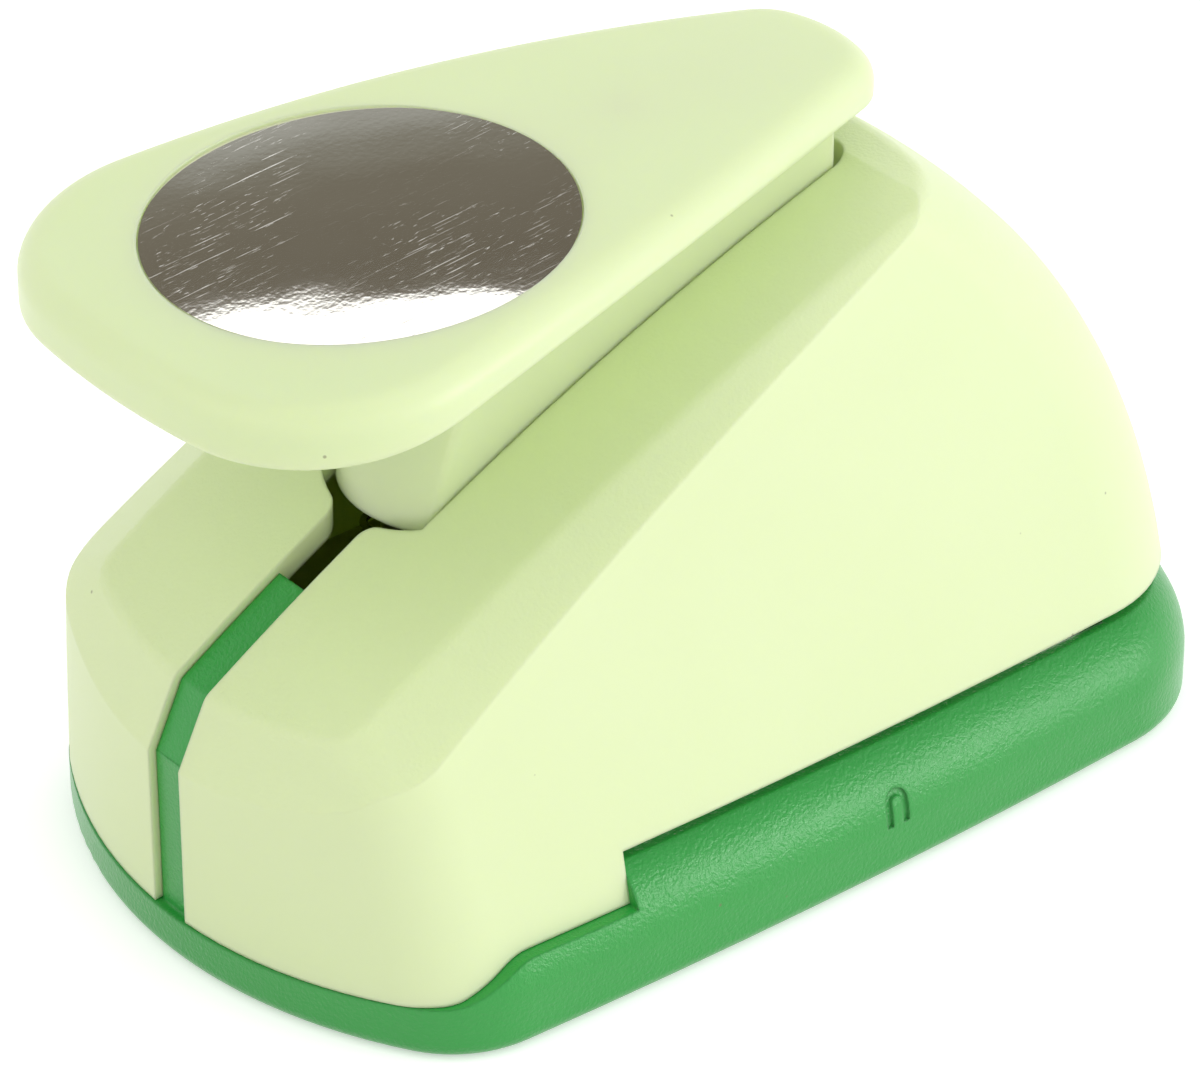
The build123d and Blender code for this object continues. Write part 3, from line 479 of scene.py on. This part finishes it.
@dataclass
class ReturnSprings:
    """Four wound compression springs, one round each guide pin. Sizes are in millimetres."""

    count: int = 4
    wire: float = 0.8
    height: float = 11.4
    turns: float = 5.5
    # turns at each end that lie flat, and the share of its height that a spring keeps when fully squeezed
    closed: float = 0.75
    squeezed: float = 0.436
    # rings to a turn, and corners to a ring
    steps: int = 28
    sides: int = 10

    def build(self) -> None:
        """Wind each spring in the place of its plain CAD tube."""
        material = SPRING_WIRE.build()
        for number in range(1, self.count + 1):
            node = f"return_spring_{number}"
            low, high = (Vector(corner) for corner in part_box(node))
            piece = self.wind(f"wound_{node}", low, high)
            piece.data.materials.append(material)
            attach(piece, Body.FRAME.value)
            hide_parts(node)
            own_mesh(piece)
            LOG.info("wound %s", piece.name)

    def wind(self, name: str, low: Vector, high: Vector) -> bpy.types.Object:
        """Make one helical wire with closed ends.

        Args:
            name: The new object's name.
            low: Lowest corner of the spring's place.
            high: Highest corner of the spring's place.

        Returns:
            The spring as a mesh object.
        """
        thick = self.wire * MM / 2
        reach = (high.x - low.x) / 2 - thick
        centre = ((low.x + high.x) / 2, (low.y + high.y) / 2)
        bottom, top = low.z + thick, high.z - thick
        count = int(self.turns * self.steps)
        mesh = bmesh.new()
        rings = []
        for i in range(count + 1):
            turn = self.turns * i / count
            angle = 2 * math.pi * turn
            outward = Vector((math.cos(angle), math.sin(angle), 0.0))
            middle = Vector((centre[0] + reach * math.cos(angle), centre[1] + reach * math.sin(angle),
                             bottom + (top - bottom) * self.rise(turn)))
            ring = []
            for k in range(self.sides):
                around = 2 * math.pi * k / self.sides
                offset = outward * math.cos(around) + Vector((0, 0, math.sin(around)))
                ring.append(mesh.verts.new(middle + thick * offset))
            rings.append(ring)
        for first, second in zip(rings, rings[1:]):
            for k in range(self.sides):
                n = (k + 1) % self.sides
                mesh.faces.new((first[k], first[n], second[n], second[k]))
        mesh.faces.new(list(reversed(rings[0])))
        mesh.faces.new(rings[-1])
        bmesh.ops.recalc_face_normals(mesh, faces=mesh.faces)
        data = bpy.data.meshes.new(name)
        mesh.to_mesh(data)
        mesh.free()
        for face in data.polygons:
            # the wire's skin is smooth, and its two cut ends stay flat
            face.use_smooth = len(face.vertices) == 4
        piece = bpy.data.objects.new(name, data)
        bpy.context.scene.collection.objects.link(piece)
        return piece

    def rise(self, turn: float) -> float:
        """Share of the spring's height reached after some turns: slow in the closed end turns.

        Args:
            turn: Turns counted from the foot.

        Returns:
            A share from 0 to 1.
        """
        closed_share = self.wire * self.closed / self.height
        if turn < self.closed:
            return closed_share * turn / self.closed
        if turn > self.turns - self.closed:
            return 1 - closed_share * (self.turns - turn) / self.closed
        open_turns = self.turns - 2 * self.closed
        return closed_share + (1 - 2 * closed_share) * (turn - self.closed) / open_turns


@dataclass(frozen=True)
class SoftBox:
    """A square lamp with a soft front. Its place and its side are in metres, its power in watts."""

    name: str
    spot: Triple
    size: float
    power: float
    tint: Triple = (1.0, 1.0, 1.0)

    def hang(self, aim: Triple) -> None:
        """Hang the box so that it looks at a place.

        Args:
            aim: The place that it looks at, in metres.
        """
        data = bpy.data.lights.new(self.name, "AREA")
        data.size = self.size
        data.energy = self.power
        data.color = self.tint
        lamp = bpy.data.objects.new(self.name, data)
        lamp.location = self.spot
        lamp.rotation_euler = (Vector(aim) - Vector(self.spot)).to_track_quat("-Z", "Y").to_euler()
        bpy.context.scene.collection.objects.link(lamp)
        LOG.info("hung %s", self.name)


@dataclass(frozen=True)
class Lobe:
    """Light that is strongest towards one side of the room and falls off smoothly."""

    toward: Triple
    power: float
    gain: float

    def build(self, tree: Tree, look: Socket) -> Socket:
        """Work out the lobe's strength.

        Args:
            tree: The world's node tree.
            look: The direction that is looked up.

        Returns:
            The strength: the gain times a power of the cosine to the lobe's middle.
        """
        facing = add_node(tree, "ShaderNodeVectorMath", {0: look, 1: self.toward}, operation="DOT_PRODUCT")
        front = maths(tree, "MAXIMUM", facing.outputs["Value"], 0.0)
        return maths(tree, "MULTIPLY", maths(tree, "POWER", front, self.power), self.gain)


@dataclass
class Studio:
    """A white table under soft light. Sizes are in metres, and heights in the room are sines."""

    # the key stands low on the camera's right and lights the near side wall; the fill hangs high on its left
    # and lights the tops and the low end
    boxes: tuple[SoftBox, ...] = (
        SoftBox("key_box", (0.62, -0.92, 0.24), 0.38, 1.4),
        SoftBox("fill_box", (-0.9, 0.25, 0.9), 1.0, 2.6, (1.0, 0.99, 0.84)),
    )
    aim: Triple = (0, 0, 0.03)
    # the table, which lies a hair below the CAD's underside at zero
    reach: float = 6.0
    table_height: float = -0.0001
    table_colour: str = "#F4F4F4"
    table_roughness: float = 0.9
    table_sheen: float = 0.1
    # the table's own light for the camera, and in reflections, as a lit table has it beside a white cloth
    table_shown: float = 0.42
    table_mirrored: float = 0.65
    # even light on matt faces, from the horizon to the ceiling, and more of it from the window side
    even: Span = (0.51, 0.71)
    window: Lobe = Lobe((0.5, -0.7, 0.5), 3.0, 1.0)
    # what a mirror sees: levels at the horizon and straight up, and the room's colours at heights between
    # them, with a dark band that falls on the disc
    horizon: float = 0.9
    zenith: float = 0.4
    room: tuple[tuple[float, str], ...] = (
        (0.36, "#E6E6E6"), (0.50, "#B4B4B2"), (0.547, "#8C8C88"), (0.5538, "#76766F"),
        (0.5552, "#625E54"), (0.575, "#565147"), (0.66, "#6E6E6C"), (0.86, "#7A7A7A"),
    )
    room_level: float = 1.6
    # a lit card in that room: its lower edge, which is tilted, runs through the disc's near side
    card_tilt: float = -0.109
    card_low: Span = (0.5272, 0.5278)
    card_high: Span = (0.6, 0.66)
    # a lamp in that room, low on the camera's right: its soft gleam runs along the base's rim
    lamp: Lobe = Lobe((0.56, -0.828, 0.03), 60.0, 7.5)

    def build(self) -> None:
        """Build the floor, the world's light and the two soft boxes."""
        self.floor()
        self.world()
        for box in self.boxes:
            box.hang(self.aim)

    def floor(self) -> None:
        """A matt white table top that is shown white and still takes the punch's shadow."""
        data = bpy.data.meshes.new("table_top")
        half = self.reach / 2
        corners = [(-half, -half, 0), (half, -half, 0), (half, half, 0), (-half, half, 0)]
        data.from_pydata(corners, [], [(0, 1, 2, 3)])
        top = bpy.data.objects.new("table_top", data)
        bpy.context.scene.collection.objects.link(top)
        top.location.z = self.table_height
        material, tree, shader = blank("paper_white_table")
        path = add_node(tree, "ShaderNodeLightPath")
        shown = maths(tree, "MULTIPLY", path.outputs["Is Camera Ray"], self.table_shown)
        gleam = maths(tree, "MULTIPLY_ADD", path.outputs["Is Glossy Ray"], self.table_mirrored, shown)
        set_inputs(tree, shader, {
            "Base Color": linear(self.table_colour),
            "Roughness": self.table_roughness,
            "Specular IOR Level": self.table_sheen,
            "Emission Color": WHITE,
            "Emission Strength": gleam,
        })
        data.materials.append(material)

    def world(self) -> None:
        """White for the camera, even for matt light, and a room with a dark band for reflections."""
        world = bpy.data.worlds.new("white_room")
        bpy.context.scene.world = world
        world.use_nodes = True
        tree = world.node_tree
        tree.nodes.clear()
        look = add_node(tree, "ShaderNodeTexCoord").outputs["Generated"]
        parts = add_node(tree, "ShaderNodeSeparateXYZ", {"Vector": look})
        across, up = parts.outputs["X"], parts.outputs["Z"]
        rising = ranged(tree, up, target=self.even)
        matt = self.light(tree, WHITE, maths(tree, "ADD", self.window.build(tree, look), rising))
        walls = self.light(tree, self.mirrored_room(tree, across, up), self.room_level)
        lamp = self.light(tree, WHITE, self.lamp.build(tree, look))
        mirrored = add_node(tree, "ShaderNodeAddShader", {0: walls, 1: lamp})
        path = add_node(tree, "ShaderNodeLightPath")
        lit = add_node(tree, "ShaderNodeMixShader", {
            0: path.outputs["Is Glossy Ray"], 1: matt, 2: mirrored.outputs[0]})
        shown = add_node(tree, "ShaderNodeMixShader", {
            0: path.outputs["Is Camera Ray"], 1: lit.outputs[0], 2: self.light(tree, WHITE, 1.0)})
        add_node(tree, "ShaderNodeOutputWorld", {"Surface": shown.outputs[0]})

    def mirrored_room(self, tree: Tree, across: Socket, up: Socket) -> Socket:
        """Colour the room that mirrors show: its walls by height, with the lit card before them.

        Args:
            tree: The world's node tree.
            across: The looked-up direction's X.
            up: The looked-up direction's Z.

        Returns:
            The room's colour in that direction.
        """
        wall = add_node(tree, "ShaderNodeValToRGB", {"Fac": up})
        ramp = wall.color_ramp
        ramp.elements[0].color = grey(self.horizon)
        ramp.elements[1].color = grey(self.zenith)
        for height, colour in self.room:
            ramp.elements.new(height).color = linear(colour)
        tilted = maths(tree, "MULTIPLY_ADD", across, self.card_tilt, up)
        above = ranged(tree, tilted, self.card_low)
        below = ranged(tree, up, self.card_high, (1.0, 0.0))
        return blend(tree, maths(tree, "MULTIPLY", above, below), wall.outputs["Color"], WHITE)

    def light(self, tree: Tree, colour: Socket | tuple, strength: Socket | float) -> Socket:
        """Add light that comes from all round, of one colour and strength or of sockets for them."""
        return add_node(tree, "ShaderNodeBackground", {"Color": colour, "Strength": strength}).outputs[0]


@dataclass
class PhotoCamera:
    """The camera as it was fitted to the photograph. Lengths are in millimetres and angles in degrees."""

    place: Triple = (-297.97, -358.07, 315.84)
    azimuth: float = -39.52
    elevation: float = 32.105
    lens: float = 180.0
    sensor: float = 36.0
    # the nearest and the farthest that it shows, in metres
    clip: Span = (0.05, 20.0)

    def build(self) -> None:
        """Make the camera and hand it to the scene."""
        a, e = math.radians(self.azimuth), math.radians(self.elevation)
        right = Vector((math.cos(a), math.sin(a), 0))
        back = Vector((math.sin(a) * math.cos(e), -math.cos(a) * math.cos(e), math.sin(e)))
        up = back.cross(right)
        data = bpy.data.cameras.new("photo_camera")
        data.sensor_fit = "HORIZONTAL"
        data.sensor_width = self.sensor
        data.lens = self.lens
        data.clip_start, data.clip_end = self.clip
        camera = bpy.data.objects.new("photo_camera", data)
        turn = Matrix((right, up, back)).transposed().to_4x4()
        camera.matrix_world = Matrix.Translation(Vector(self.place) * MM) @ turn
        bpy.context.scene.collection.objects.link(camera)
        bpy.context.scene.camera = camera


def main() -> None:
    """Load the frame, dress every piece, and set up the studio and the camera."""
    logging.basicConfig(level=logging.INFO, format="%(message)s")
    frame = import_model()
    nodes = frame["nodes"]
    bpy.context.scene.view_settings.view_transform = "Standard"
    for part in (Shells(nodes), Lever(nodes), Works(nodes), ReturnSprings(), Studio(), PhotoCamera()):
        part.build()
        LOG.info("finished %s", type(part).__name__)


if __name__ == "__main__":
    main()
